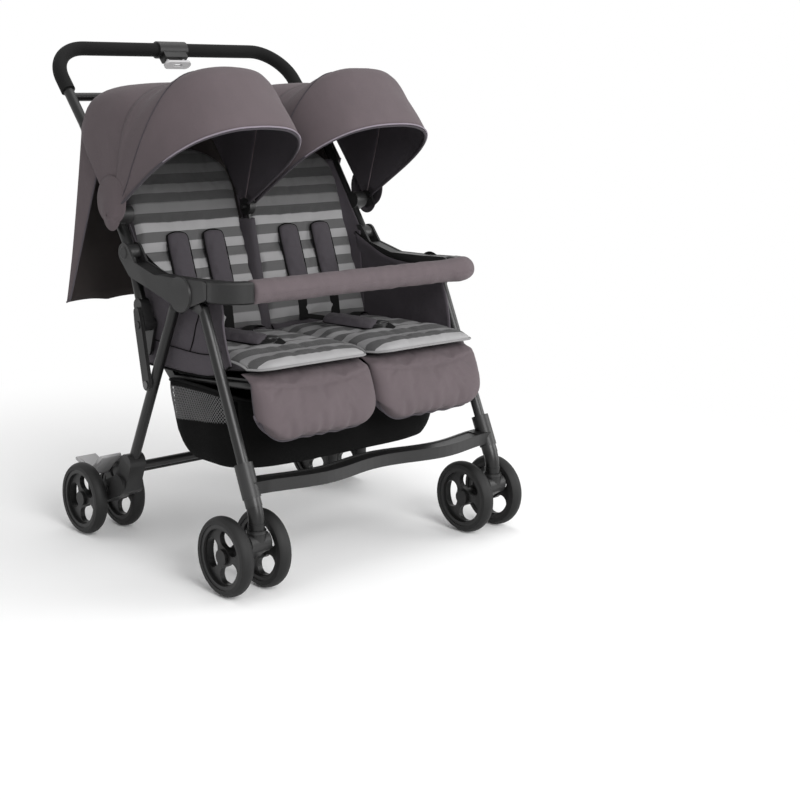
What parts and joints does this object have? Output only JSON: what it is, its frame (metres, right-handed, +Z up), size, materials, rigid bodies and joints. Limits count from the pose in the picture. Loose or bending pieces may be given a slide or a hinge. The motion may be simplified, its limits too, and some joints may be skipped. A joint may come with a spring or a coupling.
{
  "type": "side by side double stroller",
  "caption": "Folding side by side stroller with two reclining seats, turning canopies, a padded bumper bar, swivel casters, a foot bar and a shopping basket.",
  "frame": {"origin": "on the ground under the middle of the whole stroller", "axes": "+X to the pusher's left as the seats face -Y, -Y forwards, +Z up"},
  "size_m": [0.755, 0.7896, 1.0441],
  "materials": {
    "frame_tube": "satin",
    "black_plastic": "satin",
    "tyre_rubber": "matte",
    "steel": "brushed",
    "grip_foam": "matte",
    "grey_plastic": "satin",
    "taupe_fabric": "woven",
    "stripe_fabric": "woven",
    "dark_fabric": "woven",
    "black_fabric": "woven"
  },
  "bodies": {
    "rear_frame": {"rear_axles": "steel", "rear_housing_left": "black_plastic", "rear_housing_right": "black_plastic", "rear_leg_left": "frame_tube", "rear_leg_right": "frame_tube", "rear_cross_tube": "frame_tube", "frame_pins": "steel", "basket": "black_fabric"},
    "armrests": {"armrest_left": "black_plastic", "armrest_right": "black_plastic", "handle_pins": "steel", "bumper_bar": "black_plastic", "bumper_sleeve": "taupe_fabric", "side_panels": "dark_fabric"},
    "front_frame": {"front_leg_left": "frame_tube", "front_leg_right": "frame_tube", "foot_bar": "black_plastic"},
    "handle_frame": {"handle_tube": "frame_tube", "handle_grip": "grip_foam", "trigger_housing": "black_plastic", "seat_hinge_tube": "frame_tube", "canopy_post": "black_plastic", "canopy_rear": "taupe_fabric", "rear_cover": "taupe_fabric"},
    "fold_links": {"fold_links": "black_plastic"},
    "seat": {"seat_frame": "frame_tube", "seat_pad_left": "stripe_fabric", "seat_pad_right": "stripe_fabric"},
    "back_left": {"back_pad_left": "stripe_fabric", "harness_left": "dark_fabric"},
    "back_right": {"back_pad_right": "stripe_fabric", "harness_right": "dark_fabric"},
    "leg_rest_left": {"leg_rest_left": "taupe_fabric"},
    "leg_rest_right": {"leg_rest_right": "taupe_fabric"},
    "canopy_hubs": {"canopy_hubs": "black_plastic"},
    "visor_left": {"visor_left": "taupe_fabric"},
    "visor_right": {"visor_right": "taupe_fabric"},
    "caster_left": {"caster_fork_left": "black_plastic", "caster_axle_left": "steel"},
    "caster_right": {"caster_fork_right": "black_plastic", "caster_axle_right": "steel"},
    "brake_pedal": {"brake_pedal": "grey_plastic"},
    "brake_rod": {"brake_rod": "frame_tube"},
    "fold_trigger": {"fold_trigger": "grey_plastic"},
    "wheel_front_outer_left": {"tyre_front_outer_left": "tyre_rubber", "rim_front_outer_left": "black_plastic"},
    "wheel_front_outer_right": {"tyre_front_outer_right": "tyre_rubber", "rim_front_outer_right": "black_plastic"},
    "wheel_front_inner_left": {"tyre_front_inner_left": "tyre_rubber", "rim_front_inner_left": "black_plastic"},
    "wheel_front_inner_right": {"tyre_front_inner_right": "tyre_rubber", "rim_front_inner_right": "black_plastic"},
    "wheel_rear_outer_left": {"tyre_rear_outer_left": "tyre_rubber", "rim_rear_outer_left": "black_plastic"},
    "wheel_rear_outer_right": {"tyre_rear_outer_right": "tyre_rubber", "rim_rear_outer_right": "black_plastic"},
    "wheel_rear_inner_left": {"tyre_rear_inner_left": "tyre_rubber", "rim_rear_inner_left": "black_plastic"},
    "wheel_rear_inner_right": {"tyre_rear_inner_right": "tyre_rubber", "rim_rear_inner_right": "black_plastic"}
  },
  "joints": [
    {"name": "fold", "type": "hinge", "parent": "rear_frame", "child": "armrests", "pos_m": [0, -0.14, 0.546], "axis": [-1, 0, 0], "range_deg": [0, 41.5], "deforming": ["basket", "rear_cover", "side_panels"]},
    {"name": "front_leg_fold", "type": "hinge", "parent": "rear_frame", "child": "front_frame", "pos_m": [0, -0.14, 0.546], "axis": [1, 0, 0], "range_deg": [0, 32.08]},
    {"name": "handle_fold", "type": "hinge", "parent": "armrests", "child": "handle_frame", "pos_m": [0, 0.06, 0.609], "axis": [1, 0, 0], "range_deg": [0, 76.75]},
    {"name": "link_fold", "type": "hinge", "parent": "rear_frame", "child": "fold_links", "pos_m": [0, -0.01879, 0.35], "axis": [-1, 0, 0], "range_deg": [0, 89.87]},
    {"name": "seat_fold", "type": "hinge", "parent": "handle_frame", "child": "seat", "pos_m": [0, 0.024, 0.414], "axis": [-1, 0, 0], "range_deg": [0, 68.7]},
    {"name": "hub_fold", "type": "hinge", "parent": "handle_frame", "child": "canopy_hubs", "pos_m": [0, 0.08426, 0.68431], "axis": [-1, 0, 0], "range_deg": [0, 36.1]},
    {"name": "recline_left", "type": "hinge", "parent": "handle_frame", "child": "back_left", "pos_m": [0, 0.024, 0.414], "axis": [1, 0, 0], "range_deg": [-35, 0], "deforming": ["rear_cover"]},
    {"name": "leg_rest_lift_left", "type": "hinge", "parent": "seat", "child": "leg_rest_left", "pos_m": [0, -0.30519, 0.37712], "axis": [1, 0, 0], "range_deg": [-75, 0]},
    {"name": "visor_turn_left", "type": "hinge", "parent": "canopy_hubs", "child": "visor_left", "pos_m": [0, 0.08426, 0.68431], "axis": [1, 0, 0], "range_deg": [-42, 0]},
    {"name": "caster_swivel_left", "type": "hinge", "parent": "front_frame", "child": "caster_left", "pos_m": [0.317, -0.354, 0.122], "axis": [0, 0, 1], "continuous": true},
    {"name": "recline_right", "type": "hinge", "parent": "handle_frame", "child": "back_right", "pos_m": [0, 0.024, 0.414], "axis": [1, 0, 0], "range_deg": [-35, 0], "deforming": ["rear_cover"]},
    {"name": "leg_rest_lift_right", "type": "hinge", "parent": "seat", "child": "leg_rest_right", "pos_m": [0, -0.30519, 0.37712], "axis": [1, 0, 0], "range_deg": [-75, 0]},
    {"name": "visor_turn_right", "type": "hinge", "parent": "canopy_hubs", "child": "visor_right", "pos_m": [0, 0.08426, 0.68431], "axis": [1, 0, 0], "range_deg": [-42, 0]},
    {"name": "caster_swivel_right", "type": "hinge", "parent": "front_frame", "child": "caster_right", "pos_m": [-0.317, -0.354, 0.122], "axis": [0, 0, 1], "continuous": true},
    {"name": "spin_front_outer_left", "type": "hinge", "parent": "caster_left", "child": "wheel_front_outer_left", "pos_m": [0.317, -0.317, 0.076], "axis": [1, 0, 0], "continuous": true},
    {"name": "spin_front_outer_right", "type": "hinge", "parent": "caster_right", "child": "wheel_front_outer_right", "pos_m": [-0.317, -0.317, 0.076], "axis": [1, 0, 0], "continuous": true},
    {"name": "spin_front_inner_left", "type": "hinge", "parent": "caster_left", "child": "wheel_front_inner_left", "pos_m": [0.317, -0.317, 0.076], "axis": [1, 0, 0], "continuous": true},
    {"name": "spin_front_inner_right", "type": "hinge", "parent": "caster_right", "child": "wheel_front_inner_right", "pos_m": [-0.317, -0.317, 0.076], "axis": [1, 0, 0], "continuous": true},
    {"name": "spin_rear_outer_left", "type": "hinge", "parent": "rear_frame", "child": "wheel_rear_outer_left", "pos_m": [0.317, 0.184, 0.076], "axis": [1, 0, 0], "continuous": true},
    {"name": "spin_rear_outer_right", "type": "hinge", "parent": "rear_frame", "child": "wheel_rear_outer_right", "pos_m": [-0.317, 0.184, 0.076], "axis": [1, 0, 0], "continuous": true},
    {"name": "spin_rear_inner_left", "type": "hinge", "parent": "rear_frame", "child": "wheel_rear_inner_left", "pos_m": [0.317, 0.184, 0.076], "axis": [1, 0, 0], "continuous": true},
    {"name": "spin_rear_inner_right", "type": "hinge", "parent": "rear_frame", "child": "wheel_rear_inner_right", "pos_m": [-0.317, 0.184, 0.076], "axis": [1, 0, 0], "continuous": true},
    {"name": "brake", "type": "hinge", "parent": "rear_frame", "child": "brake_pedal", "pos_m": [-0.317, 0.198, 0.126], "axis": [1, 0, 0], "range_deg": [-12, 0]},
    {"name": "brake_link", "type": "hinge", "parent": "rear_frame", "child": "brake_rod", "pos_m": [0, 0.07641, 0.14602], "axis": [1, 0, 0], "range_deg": [-12.2, 0.1]},
    {"name": "fold_trigger", "type": "slide", "parent": "handle_frame", "child": "fold_trigger", "axis": [0, 0.6691, 0.7431], "range_m": [0, 0.008], "stiffness_N_per_m": 400, "springref_m": -0.004}
  ],
  "couplings": [
    {"joint": "front_leg_fold", "follows": "fold", "ratio": 0.77066},
    {"joint": "handle_fold", "follows": "fold", "ratio": 1.8471},
    {"joint": "link_fold", "follows": "fold", "ratio": 2.1632},
    {"joint": "seat_fold", "follows": "fold", "ratio": 1.6529},
    {"joint": "hub_fold", "follows": "fold", "ratio": 0.86747},
    {"joint": "brake_link", "follows": "brake", "ratio": 1}
  ]
}
